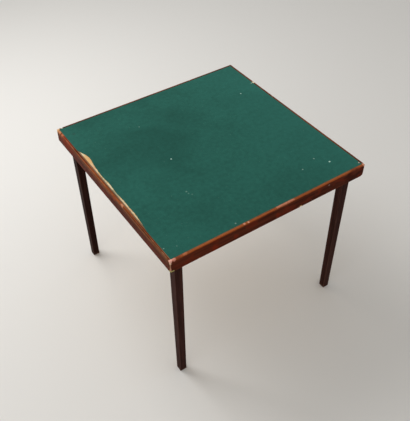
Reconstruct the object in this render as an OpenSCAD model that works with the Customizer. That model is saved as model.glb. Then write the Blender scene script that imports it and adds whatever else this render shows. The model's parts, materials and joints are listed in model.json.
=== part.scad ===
// A square card table whose four legs fold flat inside the frame of its top.
// Millimetres, +Z up. The origin is on the floor under the middle of the top, and
// the front rail is at -Y. The table looks the same after each quarter turn: rail 0,
// leg 0 and what holds them are drawn once, and turned for the other three corners.

/* [Top] */
// Outer side of the square frame
top_side = 840; // [820:5:900]
// Height of the rim above the floor
table_h = 700; // [680:5:715]
// Thickness of a rail
rail_t = 18; // [16:0.5:20]
// Width of the rim left beside the cloth
rim_w = 8; // [6:0.5:10]
// Rounding along the rim's outer edge
rim_round = 3; // [1:0.5:5]
// Rounding of the frame's four upright corners
corner_round = 2; // [1:0.5:5]
// Thickness of the plywood panel
panel_t = 5; // [4:0.5:6]
// Thickness of the baize
cloth_t = 1.1; // [0.8:0.1:1.6]
// Depth of the baize below the rim
cloth_drop = 0.3; // [0.1:0.1:0.6]
// Depth of rail that hangs below the catches
rail_lip = 1; // [0.5:0.5:8]

/* [Legs] */
// Side of the square leg at its head
leg_w = 32; // [30:0.5:34]
// Side of the square leg at its foot
foot_w = 27; // [25:0.5:29]
// Distance from the frame's outer face to the leg
leg_inset = 32; // [31:0.5:36]
// Length of untapered leg below the pivot
head_len = 32; // [28:1:60]
// Chamfer round the foot
foot_chamfer = 1; // [0.5:0.5:3]

/* [Brackets and pins] */
// Thickness of the bracket's plate
plate_t = 2; // [1.5:0.25:3]
// Radius of the bracket's ears round the pin
ear_r = 11; // [8:0.5:12]
// Depth of the bracket's web below the pin
web_drop = 21; // [18:0.5:22]
// Diameter of the pivot pin
pin_d = 6; // [5:0.5:8]
// Diameter of the pin's riveted heads
pin_head_d = 10; // [9:0.5:12]
// Thickness of a riveted head
pin_head_t = 2; // [1.5:0.25:2.5]
// Chamfer round a riveted head
pin_head_edge = 1.2; // [0.5:0.1:1.4]

/* [Catches] */
// Thickness of the spring strip
strip_t = 1.2; // [0.8:0.1:1.6]
// Height of the spring strip
strip_w = 10; // [8:0.5:12]
// Distance from the pin to the bend where the strip leaves the rail
catch_reach = 108; // [90:1:130]
// Length of strip that is screwed to the rail
root_len = 24; // [22:1:32]
// Length of the tab that stands in front of the leg
tab_len = 12; // [8:0.5:12]
// How far the tab leans away from the leg, so that it swings clear when pressed
tab_lean = 4; // [4:0.5:6]
// How far the strip's bend lies inside the leg's side face
tab_inset = 1; // [0.5:0.25:2]

/* [Blocks and battens] */
// Reach of a corner block past the pin, along the rail behind the leg
block_reach = 34; // [30:1:45]
// How far the corner blocks stop above the rail's lower edge
block_rise = 3; // [2:0.5:6]
// Side of the three-cornered glue strips
glue_w = 12; // [8:0.5:13]
// Width of the battens under the panel
batten_w = 40; // [30:1:60]
// Depth of the battens under the panel
batten_h = 16; // [12:1:20]

/* [Screws] */
// Diameter of a screw's shank
screw_d = 3.5; // [3:0.25:4]
// Diameter of a screw's head
screw_head_d = 7; // [6:0.25:8]
// How deep a screw goes into a rail
screw_bite = 12; // [8:0.5:13]
// Width of the slot across a screw's head
slot_w = 0.8; // [0.6:0.1:1.2]
// Depth of the slot across a screw's head
slot_d = 0.8; // [0.5:0.1:1]
// Height of a catch screw's head above the strip
proud_head_h = 2; // [1.5:0.1:3]
// Least width left between a screw's head and an edge
screw_edge = 1.5; // [1:0.25:2]

/* [Clearances] */
// Gap all round the panel and the cloth
seat_gap = 0.3; // [0.2:0.1:0.5]
// Gap between the leg's back and the web that stops it
stop_gap = 0.3; // [0.2:0.1:0.5]
// Gap at each side of the leg in its bracket
side_play = 0.5; // [0.3:0.1:0.8]
// Gap between the folded leg and the panel
fold_gap = 1.6; // [1:0.2:3]
// Gap between the folded leg and the catch below it
catch_gap = 1.5; // [1:0.25:3]
// Radial clearance of the pin in its bores
pin_play = 0.05; // [0.02:0.01:0.1]
// Clearance of a screw in its hole
screw_play = 0.05; // [0.02:0.01:0.1]
// Gap between a pin's head and the block beside it
head_gap = 0.5; // [0.3:0.1:1]
// Gap between a block's end and what is next to it
end_gap = 3; // [2:0.5:6]
// Gap between the battens' ends and the folded legs
batten_gap = 8; // [6:1:20]

/* [Hidden] */
SIDES = ["front", "right", "back", "left"];
CORNERS = ["front_left", "front_right", "back_right", "back_left"];
QUARTERS = [0:3];
$fn = 48;

half_leg = leg_w / 2;
half_top = top_side / 2;
rail_inner = half_top - rail_t;

// How deep cloth and panel are let into the frame
seat_depth = cloth_drop + cloth_t + panel_t;
seat_side = top_side - 2 * rim_w - 2 * seat_gap;
seat_z = table_h - seat_depth;

// The pin stands just low enough for the folded leg to clear the panel
leg_c = half_top - leg_inset - half_leg;
pivot_z = seat_z - fold_gap - half_leg;

// Below the folded leg come the catch and the rail's lip
catch_top = -half_leg - catch_gap;
catch_low = catch_top - strip_w;
rail_low = catch_low - rail_lip;
rail_h = table_h - pivot_z - rail_low;

// Distances from the pin, in the corner's own frame
panel_under = half_leg + fold_gap;
web_front = half_leg + stop_gap;
web_back = web_front + plate_t;
ear_out = half_leg + side_play + plate_t;
wall = half_leg + leg_inset - rail_t;
near_face = ear_out + pin_head_t + head_gap;
near_end = half_leg - end_gap;
block_low = rail_low + block_rise;

// Where the screws go in, from the pin
screw_inset = screw_head_d / 2 + screw_edge;
bracket_screw_z = [ear_r - screw_inset, screw_inset - web_drop];
side_screw = [block_reach - screw_inset, bracket_screw_z[1]];
near_screw = [0, bracket_screw_z[1]];
root_screws = [catch_reach + root_len / 4, catch_reach + root_len * 3 / 4];
catch_mid = (catch_top + catch_low) / 2;
screw_head_h = (screw_head_d - screw_d) / 2;
screw_tip = 3;
proud_edge = 0.8;

// How far a cut runs past the face that it opens
over = 1;

batten_half = leg_c - half_leg - batten_gap;
batten_z = seat_z - batten_h;

// The torn edge of the cloth: place along the left rail, and depth of cloth lost
TEAR = [
    [252, 0], [236, 5], [222, 10], [206, 15], [188, 18], [168, 16], [150, 13], [128, 10.5],
    [104, 9], [76, 7], [54, 7.5], [30, 10], [4, 9.5], [-20, 8], [-42, 6.5], [-64, 8],
    [-90, 9], [-130, 8.5], [-165, 9], [-190, 7.5], [-216, 5], [-240, 2.5], [-262, 0]
];

// Turns rail 0 or corner 0 into rail or corner k
module quarter(k) {
    rotate([0, 0, 90 * k]) children();
}

// Puts children at corner k, with the pin's middle as their origin. There +X is the
// way the foot swings, and +Y runs along the pin, towards the middle of the table.
module corner(k) {
    quarter(k) translate([-leg_c, -leg_c, pivot_z]) children();
}

// Stands a plan drawn in the swing's plane on edge, centred on the pin
module in_swing(thick) {
    rotate([90, 0, 0]) linear_extrude(thick, center = true) children();
}

// A round bar along the pin's axis, centred on it
module across(r, length) {
    rotate([90, 0, 0]) cylinder(r = r, h = length, center = true);
}

module rounded_square(side, r) {
    inner = side - 2 * r;
    square([side, inner], center = true);
    square([inner, side], center = true);
    for (x = [-1, 1], y = [-1, 1])
        translate([x * inner / 2, y * inner / 2]) circle(r);
}

// The slot across a head whose face is at the origin
module screw_slot() {
    cube([screw_head_d + over, slot_w, 2 * slot_d], center = true);
}

// A countersunk wood screw: its head's face is at the origin and it points down
module sunk_screw(length) {
    shank = screw_d / 2;
    difference() {
        rotate_extrude()
            polygon([[0, 0], [screw_head_d / 2, 0], [shank, -screw_head_h],
                     [shank, screw_tip - length], [0, -length]]);
        screw_slot();
    }
}

module sunk_screw_hole(length) {
    shank = screw_d / 2 + screw_play;
    head = screw_head_d / 2 + screw_play;
    rotate_extrude()
        polygon([[0, over], [head, over], [head, 0], [shank, -screw_head_h],
                 [shank, -length - screw_play], [0, -length - screw_play]]);
}

// A flat-headed screw, whose head stands on the origin's level
module proud_screw(length) {
    shank = screw_d / 2;
    head = screw_head_d / 2;
    difference() {
        rotate_extrude()
            polygon([[0, proud_head_h], [head - proud_edge, proud_head_h],
                     [head, proud_head_h - proud_edge], [head, 0], [shank, 0],
                     [shank, screw_tip - length], [0, -length]]);
        translate([0, 0, proud_head_h]) screw_slot();
    }
}

// Turns what points down so that it points at the rail behind the leg
module into_side_rail(y, z, from) {
    translate([-from, y, z]) rotate([0, 90, 0]) children();
}

// Turns what points down so that it points at the rail beside the leg
module into_near_rail(x, z, from) {
    translate([x, -from, z]) rotate([-90, 0, 0]) children();
}

module bracket_screw_places() {
    for (z = bracket_screw_z)
        into_side_rail(0, z, web_front) children();
}

module catch_screw_places() {
    for (x = root_screws)
        into_near_rail(x, catch_mid, wall - strip_t) children();
}

bracket_screw_len = wall - web_front + screw_bite;
side_screw_len = wall - web_back + screw_bite;
near_screw_len = wall - near_face + screw_bite;
catch_screw_len = strip_t + screw_bite;

// Everything that is bored or countersunk for the wood screws of one corner
module corner_screw_holes() {
    bracket_screw_places() sunk_screw_hole(bracket_screw_len);
    into_side_rail(side_screw[0], side_screw[1], web_back) sunk_screw_hole(side_screw_len);
    into_near_rail(near_screw[0], near_screw[1], near_face) sunk_screw_hole(near_screw_len);
}

module catch_screw_holes() {
    catch_screw_places()
        translate([0, 0, over]) mirror([0, 0, 1])
            cylinder(r = screw_d / 2 + screw_play, h = catch_screw_len + over + screw_play);
}

// The rail's section, with the rebate for panel and cloth and the rounded rim
module rail_section() {
    difference() {
        translate([-half_top, pivot_z + rail_low]) square([rail_t, rail_h]);
        translate([rim_w - half_top, seat_z]) square([rail_t, seat_depth + over]);
        translate([-half_top, table_h - rim_round]) difference() {
            translate([-over, 0]) square(rim_round + over);
            translate([rim_round, 0]) circle(rim_round);
        }
    }
}

module rail(k) {
    color("#6b2416") difference() {
        quarter(k) intersection() {
            rotate([90, 0, 90]) linear_extrude(top_side, center = true) rail_section();
            linear_extrude(table_h + over)
                polygon([[0, 0], [-top_side, -top_side], [top_side, -top_side]]);
            linear_extrude(table_h + over) rounded_square(top_side, corner_round);
        }
        corner(k) corner_screw_holes();
        corner(k) catch_screw_holes();
        corner(k + 1) corner_screw_holes();
    }
}

module panel() {
    color("#d9bd8c") translate([0, 0, seat_z])
        linear_extrude(panel_t) square(seat_side, center = true);
}

module baize() {
    edge = -seat_side / 2;
    color("#1f5c50") translate([0, 0, seat_z + panel_t])
        linear_extrude(cloth_t) difference() {
            square(seat_side, center = true);
            polygon([
                [edge - over, TEAR[0][0]],
                for (p = TEAR) [edge + p[1], p[0]],
                [edge - over, TEAR[len(TEAR) - 1][0]]
            ]);
        }
}

// The leg seen along its pin, with its head rounded
module leg_side() {
    difference() {
        leg_front();
        difference() {
            translate([-leg_w, 0]) square([2 * leg_w, leg_w]);
            circle(half_leg);
        }
    }
}

// The leg seen along the way it swings: a straight head, then the taper
module leg_front() {
    foot = foot_w / 2;
    polygon([
        [-half_leg, half_leg], [half_leg, half_leg], [half_leg, -head_len],
        [foot, foot_chamfer - pivot_z], [foot - foot_chamfer, -pivot_z],
        [foot_chamfer - foot, -pivot_z], [-foot, foot_chamfer - pivot_z],
        [-half_leg, -head_len]
    ]);
}

module leg(k) {
    color("#33191a") corner(k) difference() {
        intersection() {
            in_swing(leg_w) leg_side();
            rotate([90, 0, 90]) linear_extrude(leg_w, center = true) leg_front();
        }
        across(pin_d / 2 + pin_play, leg_w + 2 * over);
    }
}

// L-shaped in plan: one arm backs the bracket, the other follows the near rail
module corner_block(k) {
    height = panel_under - block_low;
    color("#a5794a") corner(k) difference() {
        union() {
            translate([-wall, -wall, block_low])
                cube([wall - web_back, wall + block_reach, height]);
            translate([-wall, -wall, block_low])
                cube([wall + near_end, wall - near_face, height]);
        }
        corner_screw_holes();
    }
}

module bracket(k) {
    color("#8d8a82") corner(k) difference() {
        union() {
            translate([-web_back, -ear_out, -web_drop])
                cube([plate_t, 2 * ear_out, web_drop + ear_r]);
            for (side = [-1, 1])
                translate([0, side * (ear_out - plate_t / 2), 0]) in_swing(plate_t) ear();
        }
        across(pin_d / 2 + pin_play, 2 * (ear_out + over));
        bracket_screw_places() sunk_screw_hole(bracket_screw_len);
    }
}

module ear() {
    circle(ear_r);
    polygon([[-web_back, ear_r], [0, ear_r], [0, -ear_r], [-web_back, -web_drop]]);
}

module pivot_pin(k) {
    r = pin_d / 2;
    head = pin_head_d / 2;
    end = ear_out + pin_head_t;
    flat = head - pin_head_edge;
    color("#77746d") corner(k) rotate([90, 0, 0]) rotate_extrude()
        polygon([
            [0, -end], [flat, -end], [head, pin_head_edge - end], [head, -ear_out],
            [r, -ear_out], [r, ear_out], [head, ear_out],
            [head, end - pin_head_edge], [flat, end], [0, end]
        ]);
}

// The unit vector a quarter turn to the right of d
function right_of(d) = [d[1], -d[0]] / norm(d);

// The point of a bent strip's inner side that faces point i of its outer side
function inner_point(outer, i) =
    let (
        before = right_of(outer[max(i, 1)] - outer[max(i, 1) - 1]),
        next = min(i + 1, len(outer) - 1),
        after = right_of(outer[next] - outer[next - 1])
    )
    outer[i] + strip_t * (before + after) / (1 + before * after);

// Flat on the rail, then sprung inwards, with a tab that stands in front of the leg
module catch_spring(k) {
    tab = tab_inset - half_leg;
    outer = [
        [catch_reach + root_len, -wall], [catch_reach, -wall],
        [web_front, tab], [web_front + tab_lean, tab + tab_len]
    ];
    color("#4a4d52") corner(k) difference() {
        translate([0, 0, catch_low]) linear_extrude(strip_w) polygon([
            for (p = outer) p,
            for (i = [len(outer) - 1:-1:0]) inner_point(outer, i)
        ]);
        catch_screw_holes();
    }
}

module glue_strip(k) {
    from = -leg_c + near_end + end_gap;
    to = leg_c - block_reach - end_gap;
    color("#b58a57") quarter(k) translate([from, 0, 0])
        rotate([90, 0, 90]) linear_extrude(to - from)
            polygon([[-rail_inner, seat_z], [glue_w - rail_inner, seat_z],
                     [-rail_inner, seat_z - glue_w]]);
}

// One batten of the half-lapped pair; its notch is on the side given
module batten(notch_z) {
    difference() {
        translate([-batten_half, -batten_w / 2, batten_z])
            cube([2 * batten_half, batten_w, batten_h]);
        translate([-batten_w / 2, -batten_w, notch_z])
            cube([batten_w, 2 * batten_w, batten_h / 2 + over]);
    }
}

module long_batten() {
    color("#c49a66") batten(batten_z - over);
}

module cross_batten() {
    color("#c49a66") quarter(1) batten(batten_z + batten_h / 2);
}

module block_screws() {
    color("#9a8450") for (k = QUARTERS) corner(k) {
        into_side_rail(side_screw[0], side_screw[1], web_back) sunk_screw(side_screw_len);
        into_near_rail(near_screw[0], near_screw[1], near_face) sunk_screw(near_screw_len);
    }
}

module bracket_screws() {
    color("#6f6c66") for (k = QUARTERS) corner(k)
        bracket_screw_places() sunk_screw(bracket_screw_len);
}

module catch_screws() {
    color("#6f6c66") for (k = QUARTERS) corner(k)
        catch_screw_places() proud_screw(catch_screw_len);
}

baize();
panel();
for (k = QUARTERS) {
    rail(k);
    glue_strip(k);
    leg(k);
    corner_block(k);
    bracket(k);
    pivot_pin(k);
    catch_spring(k);
}
long_batten();
cross_batten();
block_screws();
bracket_screws();
catch_screws();
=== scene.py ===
"""A square card table with a green baize top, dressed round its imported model.

The baize is torn along the left edge, the mahogany-stained frame is rubbed along its rim,
and the four dark legs fold flat inside the frame. All is in metres, +Z up, with the front
rail at -Y and the floor at z = 0.
"""

import json
import logging
import math
import random
from abc import ABC, abstractmethod
from collections.abc import Callable, Iterable, Iterator
from contextlib import contextmanager
from dataclasses import dataclass, field
from enum import Enum

import bmesh
import bpy
from mathutils import Matrix, Vector, noise


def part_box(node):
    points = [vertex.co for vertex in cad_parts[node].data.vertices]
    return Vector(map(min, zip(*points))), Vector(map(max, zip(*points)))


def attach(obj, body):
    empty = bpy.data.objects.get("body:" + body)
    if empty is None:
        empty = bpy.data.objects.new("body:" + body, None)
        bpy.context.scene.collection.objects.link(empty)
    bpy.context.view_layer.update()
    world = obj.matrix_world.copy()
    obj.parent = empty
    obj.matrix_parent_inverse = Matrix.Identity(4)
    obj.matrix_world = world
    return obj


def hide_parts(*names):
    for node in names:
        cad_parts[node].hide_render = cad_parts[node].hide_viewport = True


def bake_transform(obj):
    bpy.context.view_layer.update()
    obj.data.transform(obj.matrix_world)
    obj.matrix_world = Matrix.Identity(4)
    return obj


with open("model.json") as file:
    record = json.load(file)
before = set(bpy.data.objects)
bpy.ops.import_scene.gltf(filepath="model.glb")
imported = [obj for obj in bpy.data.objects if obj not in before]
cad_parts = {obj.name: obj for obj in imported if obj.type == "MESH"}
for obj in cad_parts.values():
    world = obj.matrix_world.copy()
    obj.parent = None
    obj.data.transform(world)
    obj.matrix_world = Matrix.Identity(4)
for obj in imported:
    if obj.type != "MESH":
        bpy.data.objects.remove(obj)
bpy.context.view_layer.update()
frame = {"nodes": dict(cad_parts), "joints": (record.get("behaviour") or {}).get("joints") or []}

LOG = logging.getLogger("card_table")
SIDES = ("front", "right", "back", "left")
CORNERS = ("front_left", "front_right", "back_right", "back_left")
TOP_BODY = "table_top"
MM = 0.001
TO_MM = 1000
MERGE = 0.004 * MM
HAIR = 0.1 * MM
FACING = 0.9
DIAGONAL = 0.7

Colour = tuple[float, float, float, float]
Point = tuple[float, float, float]
Piece = bpy.types.Object
Material = bpy.types.Material


class Axis(Enum):
    """The direction in which a board's grain runs, in the order of coordinates."""

    X = 0
    Y = 1
    Z = 2


class Part(Enum):
    """What an operator in edit mode works on."""

    FACES = "FACE"
    EDGES = "EDGE"
    POINTS = "VERT"


def paint(code: str) -> Colour:
    """Turns a colour as written on screen into the linear colour of a shader.

    Args:
        code: Red, green and blue as six hexadecimal digits after a #.

    Returns:
        The colour as linear red, green, blue and an alpha of 1.
    """
    linear = []
    for start in (1, 3, 5):
        share = int(code[start:start + 2], 16) / 255
        linear.append(share / 12.92 if share <= 0.04045 else ((share + 0.055) / 1.055) ** 2.4)
    return (*linear, 1.0)


def math_node(operation: str, swapped: bool = False) -> Callable[..., "Wire"]:
    """Makes a method of Wire that adds a Math node.

    Args:
        operation: What the node does.
        swapped: Whether the wire comes after the other value.

    Returns:
        The method.
    """
    def method(wire: "Wire", *others: object) -> "Wire":
        """Feeds the wire and the other value to a new node."""
        values = (*others, wire) if swapped else (wire, *others)
        return wire.graph.node("ShaderNodeMath", {"operation": operation},
                               dict(enumerate(values)))
    return method


@dataclass(frozen=True)
class Wire:
    """One output socket, whose Python operators stand for Math nodes."""

    graph: "Graph"
    socket: bpy.types.NodeSocket

    __add__ = math_node("ADD")
    __radd__ = math_node("ADD", swapped=True)
    __sub__ = math_node("SUBTRACT")
    __rsub__ = math_node("SUBTRACT", swapped=True)
    __mul__ = math_node("MULTIPLY")
    __abs__ = math_node("ABSOLUTE")
    most = math_node("MAXIMUM")
    least = math_node("MINIMUM")

    def rises(self, low: float, high: float) -> "Wire":
        """Goes smoothly from 0 below low to 1 above high."""
        settings = {"interpolation_type": "SMOOTHSTEP"}
        return self.graph.node("ShaderNodeMapRange", settings, {0: self, 1: low, 2: high})

    def falls(self, low: float, high: float) -> "Wire":
        """Goes smoothly from 1 below low to 0 above high."""
        return 1 - self.rises(low, high)

    def beside(self, output: str | int) -> "Wire":
        """Gives another output of the same node."""
        return Wire(self.graph, self.socket.node.outputs[output])


class Graph:
    """A node tree that is filled by Python expressions."""

    def __init__(self, tree: bpy.types.NodeTree) -> None:
        """Holds the tree."""
        self.tree = tree

    def node(self, kind: str, settings: dict[str, object] | None = None,
             inputs: dict[str | int, object] | None = None, output: str | int = 0) -> Wire:
        """Adds a node.

        Args:
            kind: The node's type.
            settings: Its own settings.
            inputs: Values or wires for its sockets, by name or number.
            output: The output to return.

        Returns:
            The wire that leaves the chosen output.
        """
        made = self.tree.nodes.new(kind)
        for key, value in (settings or {}).items():
            setattr(made, key, value)
        for key, value in (inputs or {}).items():
            self.feed(made.inputs[key], value)
        return Wire(self, made.outputs[output])

    def feed(self, socket: bpy.types.NodeSocket, value: object) -> None:
        """Links a wire to a socket, or sets the socket's own value.

        Args:
            socket: The socket.
            value: The wire or the value; text is a colour as written on screen.
        """
        if isinstance(value, Wire):
            self.tree.links.new(value.socket, socket)
        else:
            socket.default_value = paint(value) if isinstance(value, str) else value

    def mix(self, share: object, first: object, second: object) -> Wire:
        """Blends two colours; at share 1 only the second is left."""
        inputs = {0: share, 6: first, 7: second}
        return self.node("ShaderNodeMix", {"data_type": "RGBA"}, inputs, 2)


class Finish(Graph):
    """A new material, with the coordinates and shader that every finish uses."""

    def __init__(self, name: str) -> None:
        """Makes the material and reads the piece's own coordinates."""
        self.material = bpy.data.materials.new(name)
        self.material.use_nodes = True
        super().__init__(self.material.node_tree)
        self.shader = self.tree.nodes["Principled BSDF"]
        self.place = self.node("ShaderNodeTexCoord", output="Object")
        self.lit: Wire | None = None

    def axes(self) -> tuple[Wire, Wire, Wire]:
        """Splits the place into x, y and z."""
        first = self.node("ShaderNodeSeparateXYZ", inputs={0: self.place})
        return first, first.beside(1), first.beside(2)

    def layer(self, share: object, hue: object) -> None:
        """Lays a colour over what is lit so far; at share 1 it covers it."""
        self.lit = self.mix(share, self.lit, hue)

    def grain(self, scale: float, detail: float = 4.0, distortion: float = 0.0,
              stretch: Point = (1.0, 1.0, 1.0)) -> Wire:
        """Adds noise on the piece's own coordinates.

        Args:
            scale: Features per metre where the stretch is 1.
            detail: Octaves of finer noise.
            distortion: How far the pattern is drawn about.
            stretch: Factors on the three coordinates; a small one draws the pattern out.

        Returns:
            The noise, which varies round 0.5.
        """
        place = self.place
        if stretch != (1.0, 1.0, 1.0):
            place = self.node("ShaderNodeMapping", inputs={"Vector": place, "Scale": stretch})
        inputs = {"Vector": place, "Scale": scale, "Detail": detail, "Distortion": distortion}
        return self.node("ShaderNodeTexNoise", inputs=inputs)

    def spot(self, middle: Point, radius: float, ragged: Wire, soft: float = 0.45) -> Wire:
        """Marks a ragged spot.

        Args:
            middle: Where the spot lies.
            radius: Its radius.
            ragged: Noise round 0.5 that frays its outline.
            soft: The share of the radius over which it fades.

        Returns:
            A mask that is 1 in the spot.
        """
        settings = {"operation": "DISTANCE"}
        away = self.node("ShaderNodeVectorMath", settings, {0: self.place, 1: middle}, "Value")
        return (away + (ragged - 0.5) * (1.6 * radius)).falls((1 - soft) * radius, radius)

    def relief(self, height: Wire, depth: float) -> None:
        """Raises the surface by a height from 0 to 1, times a depth in metres."""
        inputs = {"Height": height, "Distance": depth, "Strength": 1.0}
        self.wear(Normal=self.node("ShaderNodeBump", inputs=inputs))

    def wear(self, **sockets: object) -> None:
        """Sets or links the shader's sockets, whose names have _ for each space."""
        for name, value in sockets.items():
            self.feed(self.shader.inputs[name.replace("_", " ")], value)


@dataclass(frozen=True)
class Timber:
    """A board's colours, and how its grain runs."""

    dark: str
    middle: str
    pale: str
    figure: float = 26.0
    streaks: float = 190.0
    pores: float = 1500.0
    run: float = 0.045

    def stretch(self, axis: Axis, share: float = 1.0) -> Point:
        """Gives factors that draw a pattern out along the grain."""
        return tuple(self.run * share if way is axis else 1.0 for way in Axis)

    def saw(self, finish: Finish, axis: Axis) -> Wire:
        """Lays the wood's colours in a finish.

        Args:
            finish: The material that takes it.
            axis: The direction of the grain.

        Returns:
            The height of the wood's surface.
        """
        figure = finish.grain(self.figure, 3.0, 1.2, self.stretch(axis))
        streaks = finish.grain(self.streaks, 5.0, 0.6, self.stretch(axis))
        pores = finish.grain(self.pores, 2.0, 0.0, self.stretch(axis, 0.8)).rises(0.58, 0.72)
        tone = figure * 0.6 + streaks * 0.4
        finish.lit = finish.node("ShaderNodeValToRGB", inputs={0: tone})
        stops = finish.lit.socket.node.color_ramp.elements
        stops.new(0.5)
        hues = (self.dark, self.middle, self.pale)
        for stop, place, hue in zip(stops, (0.34, 0.5, 0.68), hues):
            stop.position, stop.color = place, paint(hue)
        finish.layer(pores * 0.45, self.dark)
        return streaks * 0.5 + (1 - pores) * 0.5


@dataclass(frozen=True)
class KnockOrHighlight:
    """A place where a rail is chipped, stained, knocked bare or painted with a highlight."""

    x: float
    y: float
    z: float
    radius: float
    depth: float
    hue: str
    share: float = 1.0

    @property
    def place(self) -> Vector:
        """Gives the middle of the place."""
        return Vector((self.x, self.y, self.z))


@dataclass(frozen=True)
class Rubbing:
    """How far use has rubbed one rail, with painted light on its upper face: its strengths, and
    its widths in millimetres.
    """

    arris: float
    over: float
    down: float
    lines: float
    low: float = 0.2
    ends: float = 0.0


class Look(ABC):
    """A kind of finish, which makes materials."""

    @abstractmethod
    def lay(self, finish: Finish, *details: object) -> None:
        """Lays this kind's colours, gloss and relief in a new finish."""

    def make(self, name: str, *details: object) -> Material:
        """Makes a material of this kind.

        Args:
            name: The material's name.
            details: What the kind's own lay method takes after the finish.

        Returns:
            The material.
        """
        finish = Finish(name)
        self.lay(finish, *details)
        return finish.material


@dataclass(frozen=True)
class RailFinish(Look):
    """Mahogany stain under polish, rubbed along the arrises and bare at the corners."""

    wood: Timber
    low: float
    rubbed: str = "#ae5220"
    rubbed_flat: str = "#aa643b"
    rubbed_end: str = "#bb8e69"
    flat: str = "#6d2615"
    worn_and_lit_face: str = "#82502f"
    side: float = 0.42
    top: float = 0.7
    rim_inner: float = 0.412

    def lay(self, finish: Finish, axis: Axis, rubbing: Rubbing, knocks_and_highlights: list[KnockOrHighlight]) -> None:
        """Lays the finish of one rail.

        Args:
            finish: The new material's finish.
            axis: The direction in which the rail runs.
            rubbing: How far this rail is rubbed.
            knocks_and_highlights: The knocked places on this rail, and the highlights painted on
                it.
        """
        height = self.wood.saw(finish, axis)
        x, y, z = finish.axes()
        far = abs(x).most(abs(y))
        out = (self.side - far) * TO_MM
        along = (self.side - abs(x).least(abs(y))) * TO_MM
        drop = (self.top - z) * TO_MM
        rise = (z - self.low) * TO_MM
        inner = abs(far - self.rim_inner) * TO_MM
        patches = finish.grain(34.0, 5.0)
        ragged = finish.grain(420.0, 3.0)
        blotches = finish.grain(13.0, 2.0, 0.8, (1.0, 1.0, 2.4))
        threads = finish.grain(240.0, 2.0, 0.3, self.wood.stretch(axis, 0.25))

        finish.layer(blotches.rises(0.5, 0.64) * 0.6, "#6a2614")
        # Rubbed band and painted light: the upper face is painted lighter, fading downwards.
        face = (drop + (patches - 0.5) * 18).falls(1.0, rubbing.down)
        finish.layer(face * rubbing.arris * 0.8, self.worn_and_lit_face)
        top_edge = (out + drop + (patches - 0.5) * 5).falls(rubbing.over * 0.4, rubbing.over)
        inner_edge = (inner + drop * 2 + (patches - 0.5) * 3).falls(1.0, 2.7)
        rubbed = top_edge.most(inner_edge * 0.85) * rubbing.arris
        hue = finish.mix(drop.rises(0.1, 1.2), self.rubbed_flat, self.rubbed)
        ends = (along + patches * 60).falls(60, 260) * rubbing.ends
        hue = finish.mix(ends, hue, self.rubbed_end)
        finish.layer(drop.falls(0.4, 1.5) * rubbing.arris * 0.6, self.flat)
        finish.layer(rubbed, hue)
        lines = face * rubbing.lines
        finish.layer(threads.rises(0.48, 0.6) * lines, "#3a150a")
        finish.layer(threads.falls(0.38, 0.48) * lines, "#a2602f")
        finish.layer(ragged.rises(0.52, 0.64) * top_edge * 0.4, "#66301a")
        # Painted shade and dirt: the rail's inner faces, inside the rim's inner edge, are
        # darkened almost to black.
        seam_dirt_and_shade = (self.rim_inner * TO_MM - far * TO_MM).rises(-0.5, 0.2)
        finish.layer(seam_dirt_and_shade * 0.8, "#1d0f0a")
        low_edge = (out + rise + (1 - patches) * 9).falls(4.6, 6.2)
        finish.layer(low_edge * rubbing.low, "#93552f")
        arris = (out + along + (ragged - 0.5) * 2 + (patches - 0.5) * 4).falls(2.6, 4.4)
        bare = arris * 0.85
        finish.layer(bare, "#c8967a")
        outside = out.falls(9.0, 11.0)
        for rail_mark in knocks_and_highlights:
            fringe = finish.grain(1.3 / rail_mark.radius, 4.0)
            soft = 0.2 if rail_mark.depth else 0.5
            mask = finish.spot(rail_mark.place, rail_mark.radius, fringe, soft) * outside * rail_mark.share
            finish.layer(mask, rail_mark.hue)
            bare = bare.most(mask)
        gloss = 0.4 + patches * 0.14 + bare * 0.2 - rubbed * 0.12
        finish.wear(Base_Color=finish.lit, Roughness=gloss, Specular_IOR_Level=0.02,
                    Specular_Tint="#b07a5c", Coat_Weight=rubbed * 0.08,
                    Coat_Roughness=0.2)
        finish.relief(height * 0.6 + ragged * 0.4, 0.12 * MM)


@dataclass(frozen=True)
class LegFinish(Look):
    """Dark stain on a leg, rubbed brown along its arrises and scuffed at its foot."""

    wood: Timber
    head_w: float
    foot_w: float
    taper_z: float
    rubbed: str = "#50332b"

    def lay(self, finish: Finish, middle: Vector, darker: float) -> None:
        """Lays the finish.

        Args:
            finish: The new material's finish.
            middle: A point on the leg's own axis.
            darker: How far this leg's stain is darker than the others', from 0 to 1.
        """
        height = self.wood.saw(finish, Axis.Z)
        x, y, z = finish.axes()
        patches = finish.grain(30.0, 4.0, 0.5, (1.0, 1.0, 0.35))
        ragged = finish.grain(500.0, 3.0)
        share = (z * (1 / self.taper_z)).least(1.0)
        half = share * (0.5 * (self.head_w - self.foot_w)) + 0.5 * self.foot_w
        edge = (half * 2 - abs(x - middle.x) - abs(y - middle.y)) * TO_MM
        arris = (edge + (patches - 0.5) * 4 + (ragged - 0.5) * 1.5).falls(0.9, 2.4)
        foot = (z * TO_MM + (patches - 0.5) * 30 + (ragged - 0.5) * 10).falls(3.0, 16.0)
        finish.layer(darker, "#140a07")
        finish.layer(arris * 0.7, self.rubbed)
        finish.layer(foot * 0.5, "#5e4638")
        finish.wear(Base_Color=finish.lit, Roughness=0.42 + patches * 0.16 + foot * 0.2,
                    Specular_IOR_Level=0.02, Specular_Tint="#b08a80",
                    Coat_Weight=arris * 0.06, Coat_Roughness=0.28)
        finish.relief(height * 0.7 + ragged * 0.3, 0.1 * MM)


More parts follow.
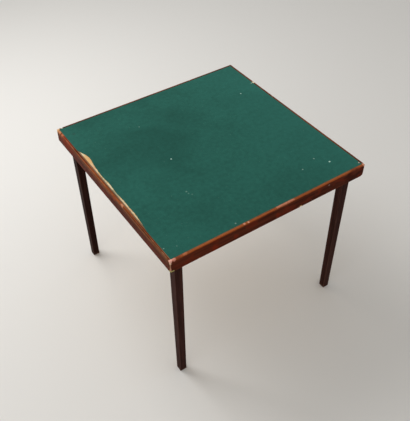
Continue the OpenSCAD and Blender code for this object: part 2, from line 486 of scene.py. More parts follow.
@dataclass(frozen=True)
class RawTimber(Look):
    """Bare inner wood, browned by age, with some spilled glue."""

    wood: Timber
    age: str = "#7b5a38"

    def lay(self, finish: Finish, axis: Axis) -> None:
        """Lays the finish.

        Args:
            finish: The new material's finish.
            axis: The direction of the grain.
        """
        height = self.wood.saw(finish, axis)
        clouds = finish.grain(11.0, 4.0)
        saw_marks = finish.grain(260.0, 2.0, 0.2, self.wood.stretch(axis, 30.0))
        glue = finish.grain(46.0, 3.0, 0.6).rises(0.66, 0.7)
        finish.layer(clouds.rises(0.42, 0.75) * 0.4, self.age)
        finish.layer(glue * 0.5, "#8a5a26")
        finish.wear(Base_Color=finish.lit, Roughness=0.78 - glue * 0.4, Specular_IOR_Level=0.3)
        finish.relief(height * 0.5 + saw_marks * 0.5, 0.2 * MM)


@dataclass(frozen=True)
class PanelFinish(Look):
    """Pale plywood; where the cloth is torn off, its glue and green fluff are left."""

    wood: Timber
    top_z: float
    cloth_edge: float
    strip: float = 9 * MM
    aged: tuple[tuple[float, float, float, str], ...] = (
        (0.178, 0.045, 0.85, "#d39c5b"),
        (0.128, 0.022, 0.6, "#cf9c77"),
        (-0.142, 0.018, 0.5, "#d29a6c"),
        (-0.04, 0.03, 0.6, "#6f8a70"),
        (0.046, 0.022, 0.35, "#7d9278"),
        (-0.232, 0.02, 0.5, "#8f8258"),
    )

    def lay(self, finish: Finish) -> None:
        """Lays the finish.

        Args:
            finish: The new material's finish.
        """
        height = self.wood.saw(finish, Axis.Y)
        x, _, z = finish.axes()
        clouds = finish.grain(16.0, 4.0)
        patches = finish.grain(90.0, 5.0)
        ragged = finish.grain(600.0, 3.0)
        upper = (z - self.top_z).rises(-0.4 * MM, -0.1 * MM)
        cream = finish.mix(patches.rises(0.38, 0.58), "#cfa36b", "#e2d0a8")
        for y, reach, share, hue in self.aged:
            aged = finish.spot((self.cloth_edge + self.strip, y, self.top_z), reach, patches)
            cream = finish.mix(aged * share, cream, hue)
        finish.layer(upper * 0.85, cream)
        fluff = (patches * 0.5 + ragged * 0.5).rises(0.56, 0.64) * upper
        finish.layer(fluff * 0.55, "#4c7a66")
        # Painted shade and dirt: a dark line on the bare panel's top, within a few millimetres
        # of its left edge beside the rail.
        dirt_and_shade = ((x - self.cloth_edge) * TO_MM + (ragged - 0.5) * 1.5).falls(3.4, 5.0) * upper
        finish.layer(dirt_and_shade * 0.85, "#5c3a1c")
        stain = clouds.rises(0.55, 0.78) * (1 - upper)
        finish.layer(stain * 0.35, "#9a7142")
        finish.wear(Base_Color=finish.lit, Roughness=0.72 - patches * 0.1,
                    Specular_IOR_Level=0.3)
        finish.relief(height * 0.4 + patches * upper * 0.6, 0.3 * MM)


@dataclass(frozen=True)
class Speck:
    """A spot of paint, lint or grime on the baize, in metres from the middle."""

    x: float
    y: float
    radius: float
    share: float = 0.9
    hue: str = "#b4d6c8"


@dataclass(frozen=True)
class BaizeFinish(Look):
    """Green woollen baize, with a felted nap, faded clouds and pale specks."""

    specks: tuple[Speck, ...]
    top_z: float
    deep: str = "#205147"
    faded: str = "#275f54"
    nap: str = "#336b60"
    darker_at: tuple[float, float] = (-0.14, 0.13)
    darker_r: float = 0.38

    def lay(self, finish: Finish) -> None:
        """Lays the finish.

        Args:
            finish: The new material's finish.
        """
        clouds = finish.grain(5.0, 4.0, 0.6)
        mottle = finish.grain(60.0, 5.0)
        felt = finish.grain(750.0, 5.0, 0.4)
        hairs = finish.grain(1900.0, 2.0, 1.5, (1.0, 0.35, 1.0))
        ragged = finish.grain(520.0, 4.0)
        tone = clouds * 0.35 + mottle * 0.4 + felt * 0.25
        finish.lit = finish.mix(tone.rises(0.34, 0.66), self.deep, self.faded)
        finish.layer(hairs.rises(0.52, 0.72) * 0.35, self.nap)
        finish.layer(felt.falls(0.36, 0.48) * 0.35, "#123630")
        x, _, _ = finish.axes()
        # Lighter and greener towards the right side.
        finish.layer(x.rises(0.05, 0.45) * 0.1, "#3f8f84")
        # Darker in a broad, ragged spot left of and behind the middle.
        darker_middle = finish.spot((*self.darker_at, self.top_z), self.darker_r, clouds, 1.0)
        finish.layer(darker_middle * 0.4, "#143c34")
        dust = finish.grain(230.0, 2.0).rises(0.735, 0.76)
        finish.layer(dust * 0.35, "#8fae9c")
        for speck in self.specks:
            mask = finish.spot((speck.x, speck.y, self.top_z), speck.radius, ragged)
            finish.layer(mask * speck.share, speck.hue)
        finish.wear(Base_Color=finish.lit, Roughness=0.95, Specular_IOR_Level=0.06,
                    Sheen_Weight=0.08, Sheen_Roughness=0.55, Sheen_Tint="#9fc4b4")
        finish.relief(felt * 0.6 + hairs * 0.4, 0.35 * MM)


@dataclass(frozen=True)
class Metal(Look):
    """Old hardware: a metal face with dull film, stains and rubbed places."""

    face: str
    film: str
    stain: str
    stained: float
    roughness: float

    def lay(self, finish: Finish) -> None:
        """Lays the finish.

        Args:
            finish: The new material's finish.
        """
        clouds = finish.grain(120.0, 4.0, 0.5)
        brushed = finish.grain(2600.0, 2.0, 0.0, (1.0, 1.0, 0.06))
        pitted = finish.grain(900.0, 4.0)
        rust = (clouds * 0.6 + pitted * 0.4).rises(0.66 - self.stained, 0.74 - self.stained)
        finish.lit = finish.mix(clouds.rises(0.35, 0.65), self.face, self.film)
        finish.layer(rust * 0.8, self.stain)
        finish.wear(Base_Color=finish.lit, Metallic=0.95 - rust * 0.75,
                    Roughness=self.roughness + clouds * 0.15 + rust * 0.3)
        finish.relief(brushed * 0.4 + pitted * 0.6, 0.06 * MM)


def take(piece: Piece) -> None:
    """Makes a piece the only one selected, and the active one.

    Args:
        piece: The piece.
    """
    bpy.ops.object.select_all(action="DESELECT")
    piece.select_set(True)
    bpy.context.view_layer.objects.active = piece


@contextmanager
def editing(piece: Piece, part: Part, action: str = "DESELECT") -> Iterator[None]:
    """Opens a piece in edit mode, and closes it again.

    Args:
        piece: The piece to edit.
        part: What the operators will work on.
        action: What is done first with all of it, SELECT or DESELECT.

    Yields:
        Nothing, while the piece is in edit mode.
    """
    take(piece)
    bpy.ops.object.mode_set(mode="EDIT")
    bpy.ops.mesh.select_mode(type=part.value)
    bpy.ops.mesh.select_all(action=action)
    yield
    bpy.ops.object.mode_set(mode="OBJECT")


def select_where(parts: Iterable[object], test: Callable[[object], bool]) -> None:
    """Selects, in edit mode, only those faces or edges that are wanted.

    Args:
        parts: The faces or edges of the mesh.
        test: Tells whether one of them is wanted.
    """
    for part in parts:
        part.select_set(False)
    for part in parts:
        if test(part):
            part.select_set(True)
    bmesh.update_edit_mesh(bpy.context.object.data)


def pick_faces(test: Callable[[Vector, Vector], bool]) -> None:
    """Selects only the faces whose middle and normal pass a test."""
    mesh = bmesh.from_edit_mesh(bpy.context.object.data)
    select_where(mesh.faces, lambda face: test(face.calc_center_median(), face.normal))


def pick_edges(test: Callable[[Vector, Vector], bool]) -> None:
    """Selects only the edges whose middle and full vector pass a test.

    Args:
        test: The test.
    """
    def passes(edge: bmesh.types.BMEdge) -> bool:
        """Puts the test to one edge."""
        first, second = (end.co for end in edge.verts)
        return test((first + second) / 2, second - first)

    select_where(bmesh.from_edit_mesh(bpy.context.object.data).edges, passes)


def add(operator: Callable[..., object], name: str, stretch: Point | Vector = (1, 1, 1),
        **settings: object) -> Piece:
    """Adds a primitive and applies its transform.

    Args:
        operator: The operator that adds it.
        name: The object's name.
        stretch: Factors on its three sizes.
        settings: What the operator is told.

    Returns:
        The object.
    """
    bpy.ops.object.select_all(action="DESELECT")
    operator(**settings)
    made = bpy.context.object
    made.name = name
    made.scale = stretch
    bpy.ops.object.transform_apply()
    return made


def add_box(name: str, low: Vector, high: Vector) -> Piece:
    """Adds a box that fills the room between two corners."""
    return add(bpy.ops.mesh.primitive_cube_add, name, size=1, location=(low + high) / 2,
               scale=high - low)


def modify(piece: Piece, kind: str, **settings: object) -> None:
    """Adds a modifier and applies it.

    Args:
        piece: The piece that takes it.
        kind: The modifier's type.
        settings: Its settings.
    """
    take(piece)
    made = piece.modifiers.new(kind.lower(), kind)
    for key, value in settings.items():
        setattr(made, key, value)
    bpy.ops.object.modifier_apply(modifier=made.name)


def bore(piece: Piece, middle: Vector, radius: float, length: float) -> None:
    """Cuts a round hole along Y out of a piece.

    Args:
        piece: The piece.
        middle: The hole's middle.
        radius: Its radius.
        length: Its length.
    """
    turn = Vector((0, 1, 0)).to_track_quat("Z", "Y").to_euler()
    bar = add(bpy.ops.mesh.primitive_cylinder_add, "bar", vertices=32, radius=radius,
              depth=length, location=middle, rotation=turn)
    modify(piece, "BOOLEAN", object=bar, operation="DIFFERENCE", solver="EXACT")
    bpy.data.objects.remove(bar)


def ease(piece: Piece, width: float, segments: int = 2) -> None:
    """Takes the sharpness off every edge of a rigid piece and shades it.

    Args:
        piece: The piece.
        width: How far its edges are eased.
        segments: How many faces go round an edge.
    """
    modify(piece, "BEVEL", width=width, segments=segments, limit_method="ANGLE",
           angle_limit=math.radians(30))
    settle(piece)


def merge(piece: Piece) -> None:
    """Joins the points that lie within a few thousandths of a millimetre.

    Args:
        piece: The piece.
    """
    with editing(piece, Part.POINTS, "SELECT"):
        bpy.ops.mesh.remove_doubles(threshold=MERGE)
        bpy.ops.mesh.dissolve_degenerate(threshold=MERGE)


def smooth(piece: Piece, angle: float = 40.0) -> None:
    """Shades a piece smoothly over the edges that turn by less than an angle."""
    take(piece)
    bpy.ops.object.shade_smooth_by_angle(angle=math.radians(angle))


def settle(piece: Piece) -> None:
    """Shades a rigid piece smoothly round its eased edges.

    Args:
        piece: The piece.
    """
    merge(piece)
    smooth(piece)
    modify(piece, "WEIGHTED_NORMAL", keep_sharp=True)


def split_wide(piece: Piece) -> None:
    """Splits the faces of more than four sides into well-shaped triangles.

    Args:
        piece: The piece.
    """
    with editing(piece, Part.FACES):
        bpy.ops.mesh.select_face_by_sides(number=4, type="GREATER")
        bpy.ops.mesh.quads_convert_to_tris(ngon_method="BEAUTY")


def slice_off(piece: Piece, point: Vector, outward: Vector) -> None:
    """Cuts a piece along a plane, drops what lies outward and closes the cut.

    Args:
        piece: The piece.
        point: A place on the plane.
        outward: The plane's normal, towards what is dropped.
    """
    with editing(piece, Part.EDGES, "SELECT"):
        bpy.ops.mesh.bisect(plane_co=point, plane_no=outward, clear_outer=True,
                            threshold=MERGE / 4)
        bpy.ops.mesh.edge_face_add()
    split_wide(piece)


def copied(piece: Piece, name: str, quarter: int = 0) -> Piece:
    """Copies a piece with a mesh of its own, turned about the table's middle.

    Args:
        piece: The piece to copy.
        name: The copy's name.
        quarter: How many quarter turns the copy is turned.

    Returns:
        The copy.
    """
    take(piece)
    bpy.ops.object.duplicate(linked=False)
    copy = bpy.context.object
    copy.name = name
    copy.rotation_euler.z = quarter * math.pi / 2
    bpy.ops.object.transform_apply()
    return copy


def turned_round(piece: Piece, names: list[str]) -> list[Piece]:
    """Copies a piece to each quarter of the table, and removes the piece.

    Args:
        piece: The piece, as it stands in the first quarter.
        names: The copies' names, in the order of the quarters.

    Returns:
        The copies.
    """
    copies = [copied(piece, name, quarter) for quarter, name in enumerate(names)]
    bpy.data.objects.remove(piece)
    return copies


def linked(name: str, data: bpy.types.ID) -> Piece:
    """Puts a new object in the scene.

    Args:
        name: The object's name.
        data: The mesh, lamp or camera that it shows.

    Returns:
        The object.
    """
    made = bpy.data.objects.new(name, data)
    bpy.context.scene.collection.objects.link(made)
    return made


def quarter_turn(quarter: int) -> Matrix:
    """Gives a turn by so many quarters about the table's middle."""
    return Matrix.Rotation(quarter * math.pi / 2, 3, "Z")


def eased_from(node: str, name: str, width: float) -> Piece:
    """Models a small piece over its solid, as a merged copy whose edges are eased.

    Args:
        node: The solid's name.
        name: The new piece's name.
        width: How far its edges are eased.

    Returns:
        The piece.
    """
    piece = linked(name, frame["nodes"][node].data.copy())
    piece.data.materials.clear()
    with editing(piece, Part.FACES, "SELECT"):
        bpy.ops.mesh.remove_doubles(threshold=MERGE / 2)
        bpy.ops.mesh.dissolve_limited(angle_limit=math.radians(1))
    ease(piece, width)
    return piece


def enter(piece: Piece, finish: Material, body: str, slot: str, *nodes: str) -> None:
    """Gives a piece its finish, hangs it on its moving body and hides the solids that it stands
    for.

    Args:
        piece: The finished piece.
        finish: Its material.
        body: The moving body that it rides on.
        slot: Not used.
        nodes: The solids that it stands for.
    """
    piece.data.materials.clear()
    piece.data.materials.append(finish)
    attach(piece, body)
    if nodes:
        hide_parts(*nodes)
    LOG.info("%s on %s: %d faces", piece.name, body, len(piece.data.polygons))


def joint_place(name: str) -> Vector:
    """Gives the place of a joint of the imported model."""
    return Vector(next(j["pos_m"] for j in frame["joints"] if j["name"] == name))


@dataclass
class TopFrame:
    """The frame's four mitred rails, made as one ring and cut apart at the mitres."""

    rim_w: float = 8 * MM
    rounding: float = 3 * MM
    arris: float = 0.7 * MM
    mitre_gap: float = 0.12 * MM
    wave: float = 0.12 * MM
    wave_w: float = 6 * MM
    wave_pitch: float = 45.0
    chip_room: float = 4 * MM
    chip_pitch: float = 700.0
    chip_rough: float = 0.5
    chip_drop: float = 0.9
    upper: float = 20 * MM
    face_least: float = 30 * MM
    long_cuts: int = 139
    face_cuts: int = 5
    knocks_and_highlights: dict[str, list[KnockOrHighlight]] = field(default_factory=dict)
    pieces: list[Piece] = field(default_factory=list)

    def build(self) -> None:
        """Models the ring, wears it and cuts it into rails."""
        boxes = [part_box(f"{side}_rail") for side in SIDES]
        low = Vector([min(box[0][axis] for box in boxes) for axis in range(3)])
        high = Vector([max(box[1][axis] for box in boxes) for axis in range(3)])
        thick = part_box("front_rail")[1].y - low.y
        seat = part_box("panel")[0].z
        ring = add_box("rails", low, Vector((high.x, high.y, seat)))
        with editing(ring, Part.FACES):
            pick_faces(lambda middle, normal: normal.z > FACING)
            bpy.ops.mesh.inset(thickness=self.rim_w)
            bpy.ops.mesh.inset(thickness=thick - self.rim_w)
            bpy.ops.mesh.delete(type="FACE")
            pick_faces(lambda middle, normal: normal.z < -FACING)
            bpy.ops.mesh.inset(thickness=thick)
            bpy.ops.mesh.delete(type="FACE")
            bpy.ops.mesh.select_mode(type=Part.EDGES.value)
            bpy.ops.mesh.select_non_manifold()
            bpy.ops.mesh.bridge_edge_loops()
            bpy.ops.mesh.select_mode(type=Part.FACES.value)
            pick_faces(lambda middle, normal: normal.z > FACING
                       and self.reach(middle) > high.x - self.rim_w)
            lift = {"value": (0, 0, high.z - seat)}
            bpy.ops.mesh.extrude_region_move(TRANSFORM_OT_translate=lift)
            bpy.ops.mesh.select_all(action="SELECT")
            bpy.ops.mesh.normals_make_consistent(inside=False)
        self._round(ring, low, high, thick)
        self._wear(ring, high)
        self._part(ring)

    @staticmethod
    def reach(place: Vector) -> float:
        """Gives how far a place lies from the middle, towards the nearest side."""
        return max(abs(place.x), abs(place.y))

    def _round(self, ring: Piece, low: Vector, high: Vector, thick: float) -> None:
        """Rounds the ring's edges and divides its long faces.

        Args:
            ring: The ring, still with sharp edges.
            low: The lowest corner of its box.
            high: The highest corner of its box.
            thick: How thick its rails are.
        """
        turn = high.x - self.rounding

        def outer(place: Vector) -> bool:
            """Tells whether a place lies on the outline, with its round corners."""
            past = Vector([max(abs(part) - turn, 0) for part in place.xy])
            return past.length > self.rounding - HAIR

        def stands_in(place: Vector, depth: float) -> bool:
            """Tells whether a place lies at a depth from the outline."""
            return abs(high.x - self.reach(place) - depth) < HAIR

        with editing(ring, Part.EDGES):
            pick_edges(lambda middle, step: self.reach(middle) > high.x - HAIR and (
                (middle.z > high.z - HAIR and abs(step.z) < HAIR)
                or (abs(step.z) > HAIR and min(abs(middle.x), abs(middle.y)) > high.x - HAIR)))
            bpy.ops.mesh.bevel(offset=self.rounding, segments=6, affect="EDGES")
            pick_edges(lambda middle, step: abs(step.z) < HAIR and (
                (middle.z < low.z + HAIR and (outer(middle) or stands_in(middle, thick)))
                or (middle.z > high.z - HAIR and stands_in(middle, self.rim_w))))
            bpy.ops.mesh.bevel(offset=self.arris, segments=2, affect="EDGES")
            pick_edges(lambda middle, step: max(abs(step.x), abs(step.y)) > high.x)
            bpy.ops.mesh.subdivide(number_cuts=self.long_cuts)
            pick_edges(lambda middle, step: abs(step.z) > self.face_least
                       and self.reach(middle) > high.x - HAIR)
            bpy.ops.mesh.subdivide(number_cuts=self.face_cuts)

    def _wear(self, ring: Piece, high: Vector) -> None:
        """Waves the ring's outer edge a little and chips pieces out of it.

        Args:
            ring: The ring.
            high: The highest corner of its box.
        """
        dents = list(dict.fromkeys(k for side in self.knocks_and_highlights.values() for k in side if k.depth))
        for rail_mark in dents:
            room = rail_mark.radius + self.chip_room
            with editing(ring, Part.FACES):
                pick_faces(lambda place, normal: (place - rail_mark.place).length < room)
                bpy.ops.mesh.subdivide(number_cuts=3)
        for vertex in ring.data.vertices:
            place = vertex.co.copy()
            inward = Vector((-place.x, -place.y, 0)).normalized()
            away = high.x - self.reach(place) + high.z - place.z
            swell = self.wave * (1 + noise.noise(place * self.wave_pitch))
            vertex.co += (inward - Vector((0, 0, 1))) * (
                DIAGONAL * max(0.0, 1 - away / self.wave_w) * swell)
            for rail_mark in dents:
                gap = (place - rail_mark.place).length
                bite = rail_mark.depth * max(0.0, 1 - gap / rail_mark.radius)
                if bite:
                    rough = 1 + self.chip_rough * noise.noise(place * self.chip_pitch)
                    drop = self.chip_drop if place.z > high.z - self.upper else -self.chip_drop
                    vertex.co += (inward - Vector((0, 0, drop))) * (bite * rough)
        split_wide(ring)

    def _part(self, ring: Piece) -> None:
        """Cuts the ring into four rails with a hairline gap at each mitre.

        Args:
            ring: The ring, which is used up.
        """
        for quarter, side in enumerate(SIDES):
            rail = copied(ring, f"{side}_rail_moulding")
            turn = quarter_turn(quarter)
            for sign in (-1, 1):
                outward = turn @ Vector((sign, 1, 0)).normalized()
                slice_off(rail, outward * (-self.mitre_gap / 2), outward)
            settle(rail)
            self.pieces.append(rail)
        bpy.data.objects.remove(ring)

    def dress(self, finish: RailFinish, rubbings: dict[str, Rubbing]) -> None:
        """Polishes the rails and enters them.

        Args:
            finish: The finish of all four.
            rubbings: How far each is rubbed, by its side.
        """
        for quarter, (side, rail) in enumerate(zip(SIDES, self.pieces)):
            axis = Axis.Y if quarter % 2 else Axis.X
            polish = finish.make(f"{side}_polish", axis, rubbings[side], self.knocks_and_highlights[side])
            enter(rail, polish, TOP_BODY, "mahogany", f"{side}_rail")


@dataclass
class PlayingTop:
    """The plywood panel and the baize glued on it, torn along the left edge."""

    panel_arris: float = 0.4 * MM
    cloth_t: float = 1.05 * MM
    columns: int = 60
    rows: int = 360
    crowding: float = 0.85
    deepest_tear: float = 30 * MM
    tear_half: float = 300 * MM
    drawn_back: float = 1.0 * MM
    drawn_w: float = 2 * MM
    ragged: tuple[Point, ...] = ((0.9 * MM, 95.0, 3.0), (0.7 * MM, 380.0, 9.0))
    billow: float = 0.09 * MM
    billow_pitch: float = 14.0
    rolled: float = 0.35 * MM
    rolled_w: float = 3 * MM
    curl: float = 0.55 * MM
    curl_w: float = 7 * MM
    curl_pitch: float = 60.0
    threads: int = 130
    thread_r: float = 0.11 * MM
    thread_len: float = 3.2 * MM
    thread_wave: float = 0.3 * MM
    thread_sag: float = 0.25 * MM
    thread_ends: float = 6 * MM
    seed: int = 17
    tear: list[tuple[float, float]] = field(default_factory=list)
    panel: Piece | None = None
    cloth: Piece | None = None
    frays: Piece | None = None

    def build(self) -> None:
        """Models the panel, the cloth and the threads that stick out of the tear."""
        low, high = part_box("baize")
        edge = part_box("panel")[0].x
        self.tear = sorted({
            (round(v.co.y, 5), round(v.co.x - edge, 5))
            for v in frame["nodes"]["baize"].data.vertices
            if v.co.x < edge + self.deepest_tear and abs(v.co.y) < self.tear_half
        })
        self.panel = add_box("ply_panel", *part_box("panel"))
        ease(self.panel, self.panel_arris)
        self._lay_cloth(edge, low, high)
        self._fray(edge, high.z)

    def lost(self, y: float) -> float:
        """Gives how much cloth is torn away beside the left rail.

        Args:
            y: The place along the rail.

        Returns:
            The depth of cloth that is gone there.
        """
        depth = 0.0
        for (y0, d0), (y1, d1) in zip(self.tear, self.tear[1:]):
            if y0 <= y <= y1:
                depth = d0 + (d1 - d0) * (y - y0) / (y1 - y0)
        if depth <= 0:
            return 0.0
        drawn = self.drawn_back + sum(far * noise.noise(Vector((0, y * pitch, row)))
                                      for far, pitch, row in self.ragged)
        return max(0.0, depth + min(1.0, depth / self.drawn_w) * drawn)

    def _lay_cloth(self, edge: float, low: Vector, high: Vector) -> None:
        """Models the cloth as a grid whose left border follows the tear.

        Args:
            edge: The panel's left edge.
            low: The lowest corner of the cloth's box.
            high: The highest corner of the cloth's box.
        """
        width = high.x - edge
        cloth = add(bpy.ops.mesh.primitive_grid_add, "baize_cloth",
                    (width, high.y - low.y, 1), size=1, location=(0, 0, high.z),
                    x_subdivisions=self.columns, y_subdivisions=self.rows)
        for vertex in cloth.data.vertices:
            share = (vertex.co.x - edge) / width
            share -= self.crowding * math.sin(math.tau * share) / math.tau
            torn = self.lost(vertex.co.y)
            vertex.co.x = edge + torn + share * (width - torn)
            vertex.co.z += self._lie(vertex.co, edge + torn, high, torn)
        modify(cloth, "SOLIDIFY", thickness=self.cloth_t, offset=-1)
        smooth(cloth, 50.0)
        self.cloth = cloth

    def _lie(self, place: Vector, left: float, high: Vector, torn: float) -> float:
        """Gives how far the cloth's face lies off its flat level.

        Args:
            place: A place on the face.
            left: The cloth's left border there.
            high: The highest corner of the cloth's box.
            torn: How much cloth is gone there.

        Returns:
            The height over the flat level.
        """
        inside = min(place.x - left if not torn else 1.0, high.x - place.x,
                     high.y - abs(place.y))
        lie = self.billow * noise.noise(Vector((*place.xy, 0)) * self.billow_pitch)
        lie -= self.rolled * max(0.0, 1 - inside / self.rolled_w) ** 2
        if torn:
            curl = self.curl * max(0.0, 1 - (place.x - left) / self.curl_w) ** 2
            lie += curl * (0.7 + noise.noise(Vector((0, place.y * self.curl_pitch, 5))))
        return lie

    def _fray(self, edge: float, top: float) -> None:
        """Models one loose thread and lays copies of it out of the torn edge.

        Args:
            edge: The panel's left edge.
            top: The height of the cloth's face.
        """
        draw = random.Random(self.seed)
        length = self.thread_len
        thread = add(bpy.ops.mesh.primitive_cylinder_add, "thread", vertices=5,
                     radius=self.thread_r, depth=length, location=(0, 0, 0),
                     rotation=(0, math.pi / 2, 0))
        with editing(thread, Part.EDGES):
            pick_edges(lambda middle, step: abs(step.x) > length / 2)
            bpy.ops.mesh.subdivide(number_cuts=4)
        for vertex in thread.data.vertices:
            vertex.co.y += self.thread_wave * math.sin(vertex.co.x / length * 5)
            vertex.co.z -= self.thread_sag * (vertex.co.x / length) ** 2
        first = self.tear[0][0] + self.thread_ends
        last = self.tear[-1][0] - self.thread_ends
        strands = []
        for index in range(self.threads):
            y = draw.uniform(first, last)
            strand = copied(thread, f"thread_{index}")
            strand.scale = (draw.uniform(0.5, 1.3),) * 3
            strand.rotation_euler = (0, draw.uniform(-0.12, 0.16), draw.uniform(-1.3, 1.3))
            strand.location = (edge + self.lost(y), y, top - draw.uniform(0.25, 0.7) * MM)
            strands.append(strand)
        bpy.data.objects.remove(thread)
        take(strands[0])
        for strand in strands:
            strand.select_set(True)
        bpy.ops.object.join()
        bpy.ops.object.transform_apply()
        self.frays = bpy.context.object
        self.frays.name = "baize_frays"
        bpy.ops.object.shade_smooth()

    def dress(self, panel: Material, baize: Material) -> None:
        """Args:
            panel: The material of the panel.
            baize: The material of the cloth and its threads.
        """
        enter(self.panel, panel, TOP_BODY, "ply", "panel")
        enter(self.frays, baize, TOP_BODY, "baize")
        enter(self.cloth, baize, TOP_BODY, "baize", "baize")


@dataclass
class Legs:
    """Four square legs that taper to the foot, each with a round head on its pin."""

    foot_w: float = 27 * MM
    head_len: float = 32 * MM
    head_flat: float = 0.05 * MM
    foot_chamfer: float = 1.2 * MM
    arris: float = 0.8 * MM
    bore_r: float = 3.05 * MM
    darker: tuple[float, ...] = (0.0, 0.05, 0.2, 0.5)
    pieces: list[Piece] = field(default_factory=list)

    def build(self) -> None:
        """Models the front left leg and copies it round the table."""
        low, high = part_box("front_left_leg")
        pivot = joint_place("front_left_leg_fold")
        width = high.x - low.x
        leg = add_box("leg", low, high)
        taper = Vector((pivot.x, pivot.y, pivot.z - self.head_len))
        with editing(leg, Part.FACES, "SELECT"):
            bpy.ops.mesh.bisect(plane_co=taper, plane_no=(0, 0, 1))
            pick_faces(lambda middle, normal: normal.z < -FACING)
            share = self.foot_w / width
            bpy.ops.transform.resize(value=(share, share, 1),
                                     center_override=(pivot.x, pivot.y, 0))
            bpy.ops.mesh.select_mode(type=Part.EDGES.value)
            pick_edges(lambda middle, step: middle.z > high.z - MM and abs(step.y) > MM)
            bpy.ops.mesh.bevel(offset=width / 2 - self.head_flat, segments=16, affect="EDGES")
            pick_edges(lambda middle, step: middle.z < MM)
            bpy.ops.mesh.bevel(offset=self.foot_chamfer, segments=2, affect="EDGES")
        bore(leg, pivot, self.bore_r, 2 * width)
        ease(leg, self.arris, 3)
        self.pieces = turned_round(leg, [f"{corner}_leg_timber" for corner in CORNERS])

    def dress(self, wood: Timber) -> None:
        """Stains the legs and enters them.

        Args:
            wood: The wood of all four.
        """
        low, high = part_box("front_left_leg")
        taper_z = joint_place("front_left_leg_fold").z - self.head_len
        finish = LegFinish(wood, high.x - low.x, self.foot_w, taper_z)
        for corner, leg, darker in zip(CORNERS, self.pieces, self.darker):
            place = joint_place(f"{corner}_leg_fold")
            stain = finish.make(f"{corner}_leg_stain", place, darker)
            enter(leg, stain, f"{corner}_leg", "leg_wood", f"{corner}_leg")


@dataclass
class Catches:
    """Four spring strips that hold the legs open, rooted on the rails beside them."""

    strip_t: float = 1.2 * MM
    tab_lean: float = 4 * MM
    tab_len: float = 12 * MM
    bend_r: float = 3 * MM
    blade_least: float = 60 * MM
    blade_cuts: int = 15
    holes: tuple[float, ...] = (0.25, 0.75)
    hole_r: float = 1.8 * MM
    hole_len: float = 6 * MM
    arris: float = 0.15 * MM
    root_bend: float = 2 * MM
    blade_bend: float = 0.5
    pieces: list[Piece] = field(default_factory=list)

    def build(self) -> None:
        """Models the front left catch and copies it round the table."""
        low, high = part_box("front_left_catch")
        bend = joint_place("front_left_catch_press").x
        root = high.x - bend
        middle = (low.z + high.z) / 2
        strip = add(bpy.ops.mesh.primitive_plane_add, "catch", (root, high.z - low.z, 1),
                    size=1, location=((bend + high.x) / 2, low.y, middle),
                    rotation=(-math.pi / 2, 0, 0))
        tip = Vector((low.x, high.y - self.tab_len, 0))
        blade = Vector((tip.x - bend, tip.y - low.y, 0))
        tab = Vector((self.tab_lean, self.tab_len, 0))
        with editing(strip, Part.EDGES):
            pick_edges(lambda place, step: place.x < bend + HAIR)
            for run in (blade, tab):
                bpy.ops.mesh.extrude_region_move(TRANSFORM_OT_translate={"value": run})
            pick_edges(lambda place, step: abs(step.z) > HAIR
                       and (abs(place.x - bend) < HAIR or (place.xy - tip.xy).length < HAIR))
            bpy.ops.mesh.bevel(offset=self.bend_r / 2, segments=4, affect="EDGES")
            pick_edges(lambda place, step: abs(step.x) > self.blade_least)
            bpy.ops.mesh.subdivide(number_cuts=self.blade_cuts)
        modify(strip, "SOLIDIFY", thickness=self.strip_t, offset=1, use_even_offset=True)
        for share in self.holes:
            place = Vector((bend + share * root, low.y, middle))
            bore(strip, place, self.hole_r, self.hole_len)
        modify(strip, "BEVEL", width=self.arris, segments=1, limit_method="ANGLE",
               angle_limit=math.radians(60))
        merge(strip)
        smooth(strip)
        self.pieces = turned_round(strip, [f"{corner}_catch_spring" for corner in CORNERS])

    def dress(self, steel: Material) -> None:
        """Blues the catches and hides the solids that they stand for.

        Args:
            steel: The material of all four.
        """
        for quarter, (corner, catch) in enumerate(zip(CORNERS, self.pieces)):
            catch.data.materials.clear()
            catch.data.materials.append(steel)
            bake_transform(catch)
            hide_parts(f"{corner}_catch")
            LOG.info("%s bends from %s", catch.name, TOP_BODY)


